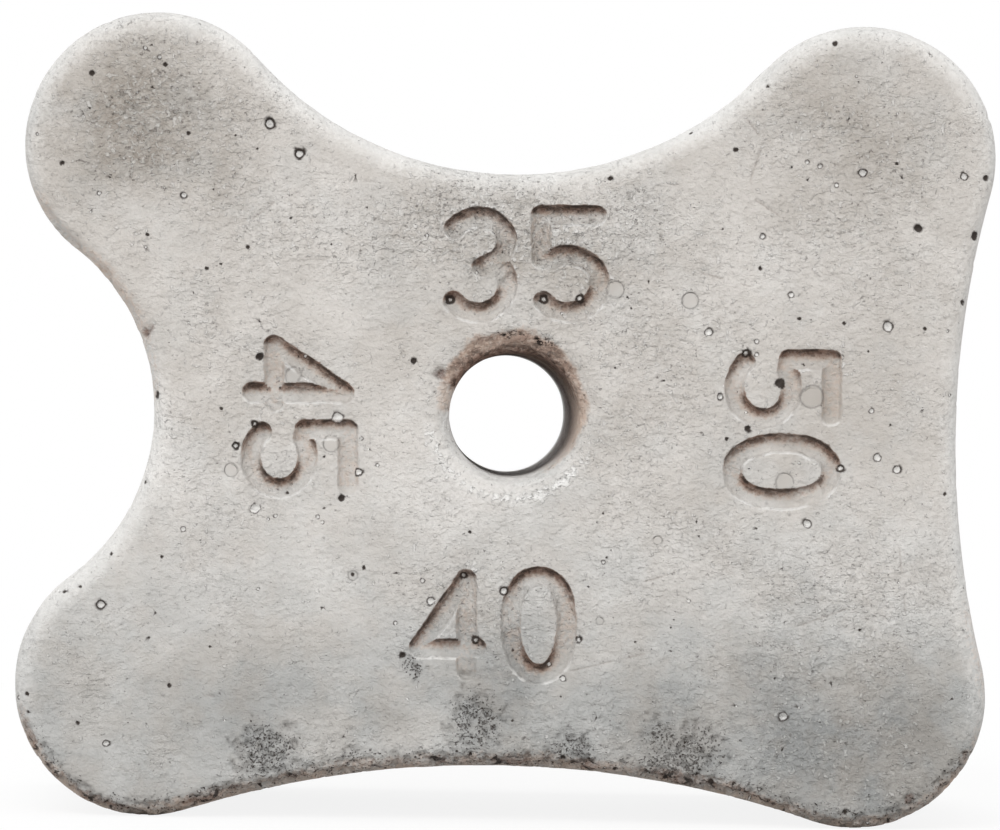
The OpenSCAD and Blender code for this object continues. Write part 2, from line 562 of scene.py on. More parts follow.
# The outer wall, laid flat as (distance along the outline, distance down the
# section) and wrapped round the block
def outerWall():
    bend = block["edge"][0] * math.pi / 2
    foot = wallRun - block["edge"][1] * math.pi / 2
    down = sectionRows(*block["edge"], 9, int((foot - bend) / block["wallStep"]) + 1)[1:-1]
    s = np.append(rimRun, perimeter)
    rim = np.column_stack([
        np.concatenate([s, 0 * down + perimeter, s[::-1], 0 * down]),
        np.concatenate([0 * s, down, 0 * s + wallRun, down[::-1]]),
    ])
    inside = []
    for k, v in enumerate(down):
        step = block["rimStep"] if v < bend + 0.1 or v > foot - 0.1 else block["wallStep"]
        count = int(perimeter / step)
        row = (np.arange(1, count) + (k % 2) * 0.5 - 0.25) / count * perimeter
        inside.append(np.column_stack([row, 0 * row + v]))
    inside = np.concatenate(inside)
    start, end = lowerRun
    inLower = (inside[:, 0] > start) & (inside[:, 0] < end) & (inside[:, 1] < block["lowerReach"])
    tight = lattice((start, 0.12), (end, block["lowerReach"]), block["poreStep"] * 1.25, 6)
    inside = np.concatenate([inside[~inLower], tight])
    inside = inside[farFrom(inside, wallHoles)]
    rings = ringsRound(wallHoles)
    rings = rings[(rings[:, 1] > 0.1) & (rings[:, 1] < wallRun - 0.1)]
    flat, faces = skin([rim], np.concatenate([inside, thinned(rings, 0.05)]))
    return wrapWall(flat), faces


def wrapWall(flat):
    inset, y = wallSection(flat[:, 1], *block["edge"])
    point, out = outlineAt(np.where(flat[:, 0] > perimeter - 1e-4, 0, flat[:, 0]))
    return standing(point - inset[:, None] * out, y)


# The hole's wall, a grid of turns round the hole and rows down its section
def boreWall():
    v = sectionRows(*block["mouth"], 15, 36)
    inset, y = wallSection(v, *block["mouth"])
    ring = holeAt + (holeRadius + inset)[:, None, None] * mouthSpoke
    i, j = np.indices((len(v) - 1, mouthCount))
    above, below, k = i * mouthCount, (i + 1) * mouthCount, (j + 1) % mouthCount
    a, b, c, d = above + j, above + k, below + k, below + j
    faces = np.concatenate([np.stack([a, b, c], -1), np.stack([a, c, d], -1)]).reshape(-1, 3)
    return standing(ring.reshape(-1, 2), np.repeat(y, mouthCount)), faces


# Joins the four skins where their rims meet
def welded(parts):
    starts = np.cumsum([0, *(len(p) for p, _ in parts)])
    points = np.concatenate([p for p, _ in parts])
    faces = np.concatenate([f + start for (_, f), start in zip(parts, starts)])
    _, first, back = np.unique(np.round(points / block["weld"]).astype(np.int64), axis=0,
                               return_index=True, return_inverse=True)
    faces = back.reshape(-1)[faces]
    return points[first], faces[(np.diff(np.sort(faces, axis=1)) > 0).all(1)]


# Mean of the normals of the triangles round each point, by area
def vertexNormals(points, faces):
    a, b, c = (points[faces[:, k]] for k in range(3))
    n = np.cross(b - a, c - a)
    total = np.zeros_like(points)
    for k in range(3):
        for axis in range(3):
            total[:, axis] += np.bincount(faces[:, k], n[:, axis], len(points))
    return unit(total)


print("laying the skins")
skins = [frontFace(), backFace(), outerWall(), boreWall()]
print("  triangles:", [len(f) for _, f in skins])
points, faces = welded(skins)
normals = vertexNormals(points, faces)
print("  welded:", len(points), "points,", len(faces), "triangles")
rimGap, rimFacing = fromOutline(points[:, [0, 2]])


# Relief, as a depth along the inward normal
relief = {
    "swell": 0.05,       # slow waves in the cast faces
    "ripple": 0.014,     # shorter ones
    "sand": 0.028,       # grains laid bare where the face is worn
    "backRipple": 0.09,  # the trowelled back
    "holeDepth": 0.8,    # depth of a bug hole as a share of its radius
    "edgeLoss": 0.3,     # the most that chips take from the front edge
    "pitDepth": 0.16,    # depth of the pits in the porous patches
    "mouthLoss": 0.22,   # what is broken from the upper rim of the hole's mouth
    "mouthRings": 0.02,  # depth of the rings round the mouth
    "ringPitch": 0.42,
    "boreWear": 0.2,     # what the tie has worn from the right of the bore
    "skinRing": 0.035,   # the fine ring round a skinned bubble
    # shallow chips: x, z, radius, depth
    "chips": [
        (-19.35, 25.85, 0.3, 0.3), (-18.95, 26.1, 0.24, 0.22), (21.9, 1.6, 0.4, 0.2),
        (-3.4, 23.9, 0.45, 0.2),
    ],
}


# How far through a stroke a point lies: 0 at its rim, 1 at its centre line.
# The section is 1 - (gap / halfWidth)^wall, and its rim wanders. Painted shade
# lies under the upper rim: a dark line, then brown fading to tan at the centre
# line. The lower rim is pale, a painted highlight.
def markDepth(points):
    wander = 0.03 * cloud(points, 0.2, 21) + 0.04 * cloud(points, 0.9, 22)
    way = wayFrom(strokePieces, points[:, [0, 2]])
    reach = np.linalg.norm(way, axis=1)
    gap = (reach + wander) / marks["halfWidth"]
    up = way[:, 1] / np.maximum(reach, 0.05)
    bowl = 1 - np.clip(gap, 0, 1) ** marks["wall"]
    share = np.where(gap < 1, bowl * 0.94, 0) + 0.06 * fade(0.9, 1.16, gap)
    patchy = np.clip(0.85 + 0.4 * cloud(points, 1.1, 52), 0, 1)
    within = fade(1, 1.08, gap)
    # painted shade under the upper rim: brown, tan and a dark line; a painted highlight on the lower rim
    brown = (0.35 + 0.65 * smooth(0.05, 0.75, gap)) * smooth(0, 0.42, gap * up) * within * patchy
    tan = smooth(-0.25, 0.5, gap * up) * within * patchy
    line = smooth(0.66, 0.88, gap) * smooth(0.15, 0.6, up) * within
    line *= smooth(-0.6, 0.3, cloud(points, 0.4, 59) + 0.6 * cloud(points, 1.2, 60))
    broken = smooth(-0.5, 0.2, cloud(points, 0.5, 53))
    pale = smooth(0.76, 0.92, gap) * fade(1.02, 1.14, gap) * smooth(0.2, 0.7, -up) * broken
    for x, z, radius, lost in marks["shallow"]:
        away = awayFrom(points, x, z, radius) + 0.3 * cloud(points, 0.4, 25)
        kept = 1 - lost * fade(0.5, 1.1, away)
        share, brown, tan, pale, line = (value * kept for value in (share, brown, tan, pale, line))
    crumbly = fade(1.3, 1.9, gap) * smooth(0.95, 1.05, gap) * smooth(0, 0.6, cloud(points, 1.5, 68))
    return share * (1 + 0.16 * cloud(points, 1.7, 23)), brown, tan, pale, line, crumbly


def scratchDepth(points):
    gap = distanceTo(scratchPieces, points[:, [0, 2]]) / scratches["halfWidth"]
    dashes = smooth(-0.25, 0.35, cloud(points, 0.7, 27))
    return fade(0.1, 1.1, gap) * dashes


# Every hole is half an ellipsoid: depth = holeDepth r sqrt(1 - (d / r)^2). Also
# gives the painted shade at its rim and the painted highlight on its floor.
def holeBowls(points):
    onFront, onBack = standing(frontHoles, -halfThick), standing(backHoles, halfThick)
    centres = np.concatenate([onFront, wrapWall(wallHoles), onBack])
    radii = np.concatenate([holes[:, 2] for holes in (frontHoles, wallHoles, backHoles)])
    depth, rim, floor = np.zeros((3, len(points)))
    paleFloor = 0.5 * (np.arange(len(radii)) % 3 == 0)
    paleFloor[:len(frontHoles)] = frontHoles[:, 3]
    for centre, radius, floorReach in zip(centres, radii, paleFloor):
        near = np.flatnonzero((np.abs(points - centre) < radius * 1.7).all(1))
        away = np.linalg.norm(points[near] - centre, axis=1) / radius
        away = away / (1 + 0.24 * cloud(points[near], radius * 0.8, 24))
        bowl = np.sqrt(np.clip(1 - away ** 2, 0, 1))
        lift(depth, near, relief["holeDepth"] * radius * bowl)
        # painted shade round the rim, a painted highlight on the floor
        inner = fade(floorReach, floorReach + 0.16, away) * (floorReach > 0)
        lift(rim, near, (1 - inner) * fade(0.98, 1.14, away))
        lift(floor, near, inner)
    return depth, rim, floor


# How porous the surface is, in patches of the front and along the lower edge
def porousShare(points, normals):
    lower = smooth(0.1, 0.6, -rimFacing) * fade(-halfThick + 0.9, -halfThick + 1.7, points[:, 1])
    lower *= fade(0.8, 1.5, rimGap + 0.4 * cloud(points, 0.8, 72) + 0.3 * cloud(points, 3, 71))
    lower *= fade(7, 11, points[:, 2])
    patch = inPatches(points[:, [0, 2]])
    uneven = cloud(points, 1, 66) + 0.6 * cloud(points * [1, 1, 0.5], 0.5, 67)
    patch *= smooth(-0.5, 0.5, uneven + patch - 0.3)
    return patch * (normals[:, 1] < -0.9), lower


# Small pits, cut from noise where the surface is porous
def pitShare(points, porous):
    rough = cloud(points, 0.26, 61) + 0.5 * cloud(points, 0.17, 62) + 0.35 * cloud(points, 0.9, 63)
    return smooth(0.55, 1, rough + 0.55 * porous) * smooth(0, 0.3, porous)


# Angle round the hole in degrees, 90 at the top, and distance from the bore
def roundHole(points):
    way = points[:, [0, 2]] - holeAt
    return np.degrees(np.arctan2(way[:, 1], way[:, 0])), np.hypot(*way.T) - holeRadius


def carve(points, normals):
    count = len(points)
    depth, disc, sunk, scored, brown, tan, pale, crumbly = np.zeros((8, count))
    onFace = smooth(0.55, 0.9, -normals[:, 1])
    front = np.flatnonzero(onFace > 0.98)
    sunk[front], brown[front], tan[front], pale[front], line, crumbly[front] = markDepth(points[front])
    scored[front] = scratchDepth(points[front])
    holeDepths, rim, floor = holeBowls(points)
    # the marks' dark line of painted shade joins the rim mask
    lift(rim, front, 0.85 * line * (1 - floor[front]))

    for x, z, radius in skinnedHoles:
        away = awayFrom(points[front], x, z, radius) / (1 + 0.1 * cloud(points[front], radius, 29))
        ring = smooth(0.88, 0.97, away) * fade(1.03, 1.12, away)
        depth[front] += relief["skinRing"] * ring
        # painted shade in the fine ring round the skin
        lift(rim, front, 0.45 * ring)
        lift(disc, front, fade(0.84, 0.96, away))

    nearFront = points[:, 1] < -halfThick + 1.3
    near = np.flatnonzero(nearFront)
    for x, z, radius, chip in relief["chips"]:
        away = awayFrom(points[near], x, z, radius) + 0.35 * cloud(points[near], 0.5, 34)
        depth[near] += chip * fade(0.75, 1.05, away) * (0.8 + 0.3 * cloud(points[near], 0.3, 35))
        lift(brown, near, 0.8 * fade(0.5, 0.95, away))

    # the front edge is chipped, most of all along the bottom
    bend = smooth(0.2, 0.8, 1 - normals[:, 1] ** 2) * nearFront
    low = smooth(0.1, 0.8, -normals[:, 2])
    rough = smooth(0.25, 0.9, cloud(points, 0.8, 36) + 0.5 * cloud(points, 0.35, 37) + 0.45 * low)
    depth += relief["edgeLoss"] * (0.2 + 0.8 * low) * bend * rough

    # the upper rim of the mouth is broken, and faint rings run round the rest
    angle, reach = roundHole(points)
    over = smooth(-20, 30, angle) * fade(150, 160, angle) * nearFront
    broken = over * smooth(0.25, 0.5, reach) * fade(0.95, 1.3, reach + 0.25 * cloud(points, 0.7, 64))
    depth += relief["mouthLoss"] * broken * (0.6 + 0.5 * cloud(points, 0.45, 65))
    turned = nearFront * smooth(0.1, 0.3, reach) * fade(1.2, 1.5, reach)
    depth += relief["mouthRings"] * turned * (0.5 + 0.5 * np.sin(reach * 2 * math.pi / relief["ringPitch"]))

    # the bore is worn wider towards the front, on its right
    inBore = fade(0.02, 0.6, reach) * smooth(-60, -20, angle) * fade(60, 100, angle)
    depth += relief["boreWear"] * inBore * fade(-halfThick + 1, -halfThick + 9, points[:, 1])

    isBack = smooth(0.6, 0.95, normals[:, 1])
    waves = relief["swell"] * (0.5 + 0.5 * cloud(points, 7, 31))
    waves += relief["ripple"] * cloud(points, 1.3, 32)
    grains = cloud(points, 0.42, 38) * 0.6 + cloud(points, 0.75, 39) * 0.5
    waves += relief["sand"] * onFace * (1 - disc) * grains * (0.3 + gritShare(points))
    drag = points * [0.35, 1, 1.6]
    waves += isBack * relief["backRipple"] * (0.5 + 0.5 * cloud(drag, 1.6, 33))

    patch, lower = porousShare(points, normals)
    pits = pitShare(points, np.maximum(patch, lower * (normals[:, 1] > -0.97)))
    depth += marks["depth"] * sunk + scratches["depth"] * scored + relief["pitDepth"] * pits
    depth = np.maximum(depth, holeDepths) + np.maximum(waves, 0)
    return depth, {
        "brown": brown, "tan": tan, "pale": pale, "scored": scored, "rim": rim, "floor": floor, "disc": disc,
        "porous": np.maximum(patch, 0.6 * lower), "pits": pits, "crumbly": crumbly,
    }


# How grey, gritty and stained the surface is, from 0 to 1
weather = {
    # greyer or cleaner spots: x, z, reach across, reach up, strength
    "spots": [
        (-19.6, 36.8, 8.4, 5.4, 0.58), (19.2, 37.4, 7, 5, 0.36), (1.5, 30, 6.5, 3.4, 0.36),
        (-21, 19.5, 7.5, 6, -0.24), (-2, 19, 9, 5, -0.22), (-24.5, 13, 3, 2.6, -0.1),
        (18.5, 5, 9.5, 6, 0.4), (9, 5, 4, 3.6, 0.26), (0, 7.5, 3.6, 5, 0.32),
        (-13.5, 7, 6, 5, 0.2), (-20.5, 9.5, 3.5, 2.2, -0.16), (-4.8, 4.2, 2.4, 2, -0.2),
        (16.5, 22, 4, 6, 0.12),
    ],
    "base": 0.29,
    "bottom": (6.5, 13.5, 0.28),  # greyer below these heights, by this much
    # gritty spots, listed as the grey ones are
    "grit": [
        (-18.5, 37.5, 8.5, 6, 0.6), (-6, 31.5, 13, 4.5, 0.45), (4, 30, 8, 6, 0.4),
        (-14.5, 22, 7, 8, 0.28), (-1, 11, 8, 4, 0.35), (0, 3.5, 26, 3.5, 0.3),
        (20, 37.5, 8, 6, 0.35), (-22, 8, 5, 6, 0.15), (0, 22, 7, 7, 0.3),
        (18, 6, 9, 7, 0.3), (8, 21, 7, 12, 0.3), (1, 33, 9, 3.5, 0.55),
        (-18, 30, 8, 5, 0.1), (17, 30, 9, 9, 0.28), (18, 13, 9, 6, 0.4),
    ],
    "gritBase": 0.22,
    # stained stretches of the outer edge: x, z, reach, strength
    "edges": [
        (-20.5, 28, 5, 0.5), (-19.2, 24, 3, 0.25), (25.5, 10, 4, 0.25), (22.5, 2.5, 3, 0.6),
    ],
}


# Sum of soft spots that wander a little
def spotted(points, spots):
    shift = points.copy()
    shift[:, 0] += 1.5 * cloud(points, 4, 41)
    shift[:, 2] += 1.5 * cloud(points, 4, 42)
    total = np.zeros(len(points))
    for x, z, across, up, strength in spots:
        total += strength * fade(0.1, 1.15, awayFrom(shift, x, z, across, up))
    return total


def wornShare(points):
    low, high, more = weather["bottom"]
    total = weather["base"] + more * fade(low, high, points[:, 2]) + spotted(points, weather["spots"])
    return np.clip(total + 0.1 * cloud(points, 3, 43) + 0.07 * cloud(points, 1.1, 44), 0, 1)


def gritShare(points):
    total = weather["gritBase"] + spotted(points, weather["grit"])
    return np.clip(total + 0.2 * cloud(points, 1.8, 45), 0, 1)


# Warm grey above, cool grey below and at the edges
def coolShare(points, normals):
    height = fade(4, 27, points[:, 2])
    edge = smooth(0.1, 0.7, 1 - normals[:, 1] ** 2)
    return np.clip(0.8 * height + 0.75 * edge + 0.12 * cloud(points, 2.5, 46), 0, 1)


depth, parts = carve(points, normals)
points = points - depth[:, None] * normals
print("relief carved")


grimeAndShade = {
    # the lower band: grime with painted shade
    "bandUp": 0.72,      # how far grime reaches up from the lower edge
    "bandTan": 0.28,
    "lowTan": 0.4,       # what is added to it low down
    "bandBrown": 0.12,
    "clotBrown": 0.6,    # what is added to it in clots
    # painted shade in the hole's mouth and bore
    "mouthReach": 0.62,  # how far it reaches from the bore, beside the hole
    "mouthLean": 0.48,   # how much further above the hole, and less below
    "leftTan": 0.6,      # on the left of the mouth
    "deepBrown": 0.7,    # deep in the bore
    "sideBrown": 0.25,   # on the side of the bore, near the front
}


# Adds tan and brown along the lower edge, where it faces down near the front:
# grime with painted shade. Adds painted shade to the upper half of the hole's
# mouth and deep in the bore. The rest of the edge is pale with wear and a
# painted highlight, and the mouth's lower lip has a painted highlight.
def grimeAndPaintedLight(points, normals):
    nearFront = fade(-halfThick + 3, -halfThick + 10, points[:, 1])
    patchy = 0.8 + 0.5 * cloud(points, 0.9, 51)
    low = fade(5, 13, points[:, 2])
    angle, reach = roundHole(points)
    outer = smooth(0, 0.6, 1 - normals[:, 1] ** 2) * nearFront * smooth(1, 2, reach)

    # the lower edge, where it faces down: grime with painted shade; and stained stretches of the rest
    under = smooth(0.05, 0.6, -rimFacing)
    reachUp = grimeAndShade["bandUp"] + 0.2 * cloud(points, 0.8, 72) + 0.16 * cloud(points, 2.4, 73)
    reachUp -= 0.2 * smooth(18, 21, np.abs(points[:, 0]))
    band = fade(-0.4, 0.2, rimGap - reachUp) * nearFront * under
    clots = cloud(points, 1.1, 69) + 0.6 * cloud(points, 0.4, 70) + 0.3 * cloud(points, 3, 71)
    tan = band * (grimeAndShade["bandTan"] + grimeAndShade["lowTan"] * low) * patchy
    brown = band * low * (grimeAndShade["bandBrown"] + grimeAndShade["clotBrown"] * smooth(0, 0.6, clots))
    brown *= 0.1 + 0.9 * smooth(0.02, 0.16, rimGap)
    spots = smooth(0.2, 0.8, cloud(points, 0.5, 53) + 0.3 * cloud(points, 0.2, 54))
    for x, z, radius, strength in weather["edges"]:
        near = outer * fade(0.3, 1, awayFrom(points, x, z, radius)) * strength
        tan = np.maximum(tan, near * patchy)
        brown = np.maximum(brown, 0.7 * near * spots)

    # the hole's mouth and bore: painted shade over the upper half of the mouth, down its left side, and in
    # the bore
    shadeReach = grimeAndShade["mouthReach"] + grimeAndShade["mouthLean"] * np.sin(np.radians(angle))
    inMouth = fade(shadeReach - 0.1, shadeReach + 0.22, reach + 0.2 * cloud(points, 0.8, 64))
    inBore = fade(0, 0.3, reach)
    over = smooth(-80, 0, angle) * fade(152, 160, angle)
    left = smooth(150, 156, angle) * fade(176, 180, angle) * grimeAndShade["leftTan"]
    tan = np.maximum(tan, inMouth * np.maximum(over, left) * fade(0, halfThick - 2, points[:, 1]))
    dark = 0.45 + 0.25 * cloud(points * [1, 1, 1.6], 0.8, 55) + 0.9 * fade(0, 0.6, reach)
    brown = np.maximum(brown, inMouth * over * smooth(-10, 50, angle) * dark * nearFront)
    inward = points[:, 1] + halfThick
    deep = grimeAndShade["deepBrown"] * smooth(4, 11, inward) * fade(19, 23, inward)
    side = grimeAndShade["sideBrown"] * over * fade(5, 12, inward)
    brown = np.maximum(brown, inBore * np.maximum(deep, side))

    # what is painted pale: painted highlights on the mouth's lower lip, its hollow and the lower bore, and
    # the outer edge, pale with wear and a painted highlight most where it faces up; the lip also gets crumbs
    lip = smooth(0.8, 1.05, reach) * fade(1.25, 1.6, reach)
    lip *= smooth(0, 0.6, np.cos(np.radians(angle + 100))) * smooth(-1, 0.2, cloud(points, 1.3, 57))
    lip *= nearFront
    hollow = smooth(0.1, 0.4, reach) * fade(0.8, 1.1, reach) * smooth(0.2, 0.8, -np.sin(np.radians(angle)))
    edge = fade(0, 1.6, rimGap) * (0.55 + 0.45 * smooth(-0.2, 0.8, rimFacing)) * (1 - under)
    edge *= nearFront * (0.9 + 0.2 * cloud(points, 1.2, 58))
    pale = np.max([edge, 0.4 * hollow * nearFront, 0.6 * lip, inBore * (1 - over)], axis=0)
    added = {"tan": tan, "brown": brown, "pale": pale}
    return {
        **{name: np.clip(np.maximum(share, parts[name]), 0, 1) for name, share in added.items()},
        "crumbly": np.maximum(lip, 0.4 * parts["crumbly"]),
    }


def placed(name, data):
    made = bpy.data.objects.new(name, data)
    scene.collection.objects.link(made)
    return made


def makePiece(name, points, faces, slots):
    mesh = bpy.data.meshes.new(name)
    mesh.from_pydata((points * mm).tolist(), [], faces.tolist())
    mesh.polygons.foreach_set("use_smooth", np.ones(len(faces), bool))
    for attribute, values in slots.items():
        layer = mesh.attributes.new(attribute, "FLOAT", "POINT")
        layer.data.foreach_set("value", values.astype(np.float32))
    mesh.update()
    return placed(name, mesh)


slots = {
    **parts,
    **grimeAndPaintedLight(points, normals),
    "worn": wornShare(points), "grit": gritShare(points), "cool": coolShare(points, normals),
}
castBlock = makePiece("castBlock", points, faces, slots)
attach(castBlock, "root")
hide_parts("spacer_block")


finish = {
    "clean": (0.685, 0.658, 0.628, 1),
    "cleanCool": (0.69, 0.68, 0.66, 1),
    "worn": (0.335, 0.3, 0.262, 1),
    "wornCool": (0.3, 0.305, 0.3, 1),
    # tan and brown paint grime and painted shade; pit paints pits and the painted shade in holes; pale
    # paints laitance, crumbs and painted highlights
    "tan": (0.58, 0.445, 0.36, 1),
    "brown": (0.15, 0.083, 0.06, 1),
    "pit": (0.04, 0.03, 0.025, 1),
    "pale": (0.86, 0.85, 0.83, 1),
    "roughness": 0.88,
    "specular": 0.2,
    "bump": 0.00006,  # metres
}
# sizes of the patches, flecks, crumbs and pits, in millimetres
sizes = {
    "drift": 2.6, "mottle": 2.2, "blot": 0.7, "dent": 0.5, "worm": 0.42, "lump": 0.4, "strewn": 0.34,
    "crumb": 0.27, "grain": 0.26, "pore": 0.24, "speck": 0.22, "pepper": 0.13, "fine": 0.12, "jag": 0.05,
}
# how much of each tint shows at its strongest
shares = {
    # pale is partly painted highlight; rim is painted shade and floor a painted highlight
    "pale": 0.65, "tan": 0.85, "brown": 0.85, "scored": 0.22, "greyed": 0.25, "rim": 0.96, "floor": 0.85,
}


# A number, place or colour in a node tree; arithmetic with it adds nodes
class Value:
    def __init__(self, socket):
        self.socket = socket

    __add__ = lambda self, other: maths("ADD", self, other)
    __sub__ = lambda self, other: maths("SUBTRACT", self, other)
    __rsub__ = lambda self, other: maths("SUBTRACT", other, self)
    __mul__ = lambda self, other: maths("MULTIPLY", self, other)
    __rtruediv__ = lambda self, other: maths("DIVIDE", other, self)


# Adds a node and gives one of its outputs. A Value is linked to its input and
# tells the tree, anything else is set there.
def addNode(kind, inputs, output=0, tree=None, **settings):
    tree = tree or next(given.socket.id_data for given in inputs.values() if isinstance(given, Value))
    node = tree.nodes.new("ShaderNode" + kind)
    for name, setting in settings.items():
        setattr(node, name, setting)
    for key, given in inputs.items():
        if isinstance(given, Value):
            tree.links.new(given.socket, node.inputs[key])
        else:
            node.inputs[key].default_value = given
    return Value(node.outputs[output]) if node.outputs else None


def maths(operation, a, b=0):
    return addNode("Math", {0: a, 1: b}, operation=operation)


def larger(a, b):
    return maths("MAXIMUM", a, b)


# Mixes two colours by a mask
def blend(mask, a, b):
    return addNode("Mix", {0: mask, 6: a, 7: b}, 2, data_type="RGBA")


def scaled(place, factor):
    return addNode("VectorMath", {0: place, 3: factor}, operation="SCALE")


def moved(place, *way):
    return addNode("VectorMath", {0: place, 1: way}, operation="ADD")


def noise(place, scale, detail, roughness=0.5, distortion=0):
    return addNode("TexNoise", {
        "Vector": place, "Scale": scale, "Detail": detail, "Roughness": roughness, "Distortion": distortion})


# Climbs smoothly from 0 at one level to 1 at another
def climb(value, start, end):
    return addNode("MapRange", {"Value": value, "From Min": start, "From Max": end},
                   interpolation_type="SMOOTHSTEP")


# A soft mask given a ragged edge by noise between 0 and 1
def ragged(mask, grain, depth):
    level = (mask + (grain - 0.5) * depth) * maths("MINIMUM", mask * 6, 1)
    return addNode("Clamp", {0: level})


# Makes a node group from a recipe, and gives what adds the group to a tree
def maskGroup(name, recipe, *numbers):
    group = bpy.data.node_groups.new(name, "ShaderNodeTree")
    kinds = {"Place": "NodeSocketVector", **dict.fromkeys(numbers, "NodeSocketFloat")}
    for socket, kind in kinds.items():
        group.interface.new_socket(socket, in_out="INPUT", socket_type=kind)
    group.interface.new_socket("Mask", in_out="OUTPUT", socket_type="NodeSocketFloat")
    given = group.nodes.new("NodeGroupInput").outputs
    mask = recipe(*(Value(given[socket]) for socket in kinds))
    group.links.new(mask.socket, group.nodes.new("NodeGroupOutput").inputs["Mask"])
    return lambda *values: addNode("Group", dict(zip(kinds, values)), node_tree=group)


# Cloudy patches of a given size in millimetres, cut between two levels
def patchRecipe(place, size, low, high):
    return climb(noise(place, 1 / size, 3, 0.6), low, high)


# Short winding ridges, like worms: where noise passes through its middle
# value, broken up by coarser noise. A share of 1 lets most of them stand.
def wormRecipe(place, size, share):
    scale = 1 / size
    ridge = climb(maths("ABSOLUTE", noise(place, scale, 1) - 0.5), 0.14, 0)
    broken = noise(place, scale * 2.3, 0, distortion=0.6)
    return ridge * climb(broken + share * 0.16, 0.64, 0.78)


# Small uneven pits, more of them where the share is higher
def pitRecipe(place, size, share):
    return climb(noise(place, 1 / size, 2, 0.55) + share * 0.22, 0.74, 0.8)


patches = maskGroup("cloudPatches", patchRecipe, "Size", "Low", "High")
worms = maskGroup("worms", wormRecipe, "Size", "Share")
pits = maskGroup("pits", pitRecipe, "Size", "Share")


def newMaterial(name):
    material = bpy.data.materials.new(name)
    material.use_nodes = True
    material.node_tree.nodes.clear()
    return material, material.node_tree


def concreteMaterial():
    material, tree = newMaterial("castConcrete")
    own = {name: addNode("Attribute", {}, "Fac", tree, attribute_name=name) for name in slots}
    grit, porous, crumbly = own["grit"], own["porous"], own["crumbly"]
    place = scaled(addNode("TexCoord", {}, "Object", tree), 1 / mm)
    drawn = addNode("VectorMath", {0: place, 1: (0.75, 1, 1)}, operation="MULTIPLY")
    bare = 1 - own["disc"]
    gritty = grit * bare

    # broad tone, from clean to worn and from warm to cool
    mottle = patches(place, sizes["mottle"], 0.3, 0.7) - 0.5
    blots = patches(moved(place, 9, 4, 7), sizes["blot"], 0.3, 0.7) - 0.5
    drift = patches(moved(place, 4, 6, 1), sizes["drift"], 0.35, 0.65) - 0.5
    worn = own["worn"] + mottle * 0.14 + blots * (gritty * 0.3) + own["disc"] * 0.14
    cool = own["cool"] + drift * 0.5
    clean = blend(cool, finish["clean"], finish["cleanCool"])
    colour = blend(worn, clean, blend(cool, finish["worn"], finish["wornCool"]))

    # light and dark flecks
    grain = patches(place, sizes["grain"], 0.3, 0.7)
    fine = patches(place, sizes["fine"], 0.25, 0.75)
    flecks = (grain - 0.5) + (fine - 0.5)
    colour = scaled(colour, flecks * ((grit * 0.07 + 0.03) * bare) + 1)

    raised = worms(drawn, sizes["worm"], grit) * bare
    crumbs = pits(moved(place, 13, 2, 9), sizes["crumb"], grit * 0.7 + 0.2 + crumbly * 0.9) * bare
    tan = ragged(own["tan"], grain, 0.5)
    # near-black clots where the brown lies, partly in painted shade
    lumps = patches(moved(drawn, 7, 3, 2), sizes["lump"], 0.49, 0.57) * own["brown"]

    # pits: a few all over, many where the face is porous
    pores = pits(moved(drawn, 5, 1, 4), sizes["pore"], porous * 0.75)
    peppered = larger(pits(place, sizes["pepper"], porous), pores)
    few = gritty * 0.6 + crumbly * 0.35
    specks = pits(moved(drawn, 8, 3, 6), sizes["speck"], few)
    strewn = larger(pits(moved(place, 3, 8, 2), sizes["strewn"], few), specks) * bare
    dark = larger(larger(own["pits"] * 0.3, peppered), strewn * 0.6) * (fine * 0.9 + 0.2)

    for mask, tint in (
        (raised * (grit * 0.12 + 0.05), "pale"),     # worms of laitance, then crumbs
        (crumbs * (crumbly * 0.6 + 0.28), "pale"),
        # pale: painted highlights on lower rims, the mouth's lip and the lower bore, and worn edges with a
        # painted highlight
        (ragged(own["pale"], grain, 0.3) * shares["pale"], "pale"),
        # tan and brown: grime with painted shade on the lower edge, brown in chips and stains, and painted
        # shade under the marks' upper rims, in the upper mouth and in the bore
        (tan * shares["tan"], "tan"),
        (ragged(own["brown"], grain * 0.5 + fine * 0.5, 0.7) * shares["brown"], "brown"),
        (lumps * (porous * 2 + 0.7), "pit"),
        (own["scored"] * shares["scored"], "brown"),
        (porous * ((1 - tan) * shares["greyed"]), "wornCool"),
        (dark, "pit"),
        # rim: painted shade in the bug holes, the skinned rings and under the marks' upper rims; floor: a
        # painted highlight
        (own["rim"] * shares["rim"], "pit"),         # bug holes: a dark rim round a pale floor
        (ragged(own["floor"], patches(place, sizes["jag"], 0.3, 0.7), 0.9) * shares["floor"], "pale"),
    ):
        colour = blend(mask, colour, finish[tint])

    dents = patches(moved(drawn, 2, 6, 3), sizes["dent"], 0.25, 0.75)
    height = (grain * 0.5 + fine * 0.25 + dents * 2.4) * (grit + 0.3)
    height = (height + raised * 0.35 + crumbs - dark * 1.2) * bare
    normal = addNode("Bump", {"Strength": 1, "Distance": finish["bump"], "Height": height})
    shader = addNode("BsdfPrincipled", {
        "Base Color": colour, "Roughness": finish["roughness"], "Normal": normal,
        "Specular IOR Level": finish["specular"]})
    addNode("OutputMaterial", {"Surface": shader})
    return material


castBlock.data.materials.append(concreteMaterial())
print("material made")


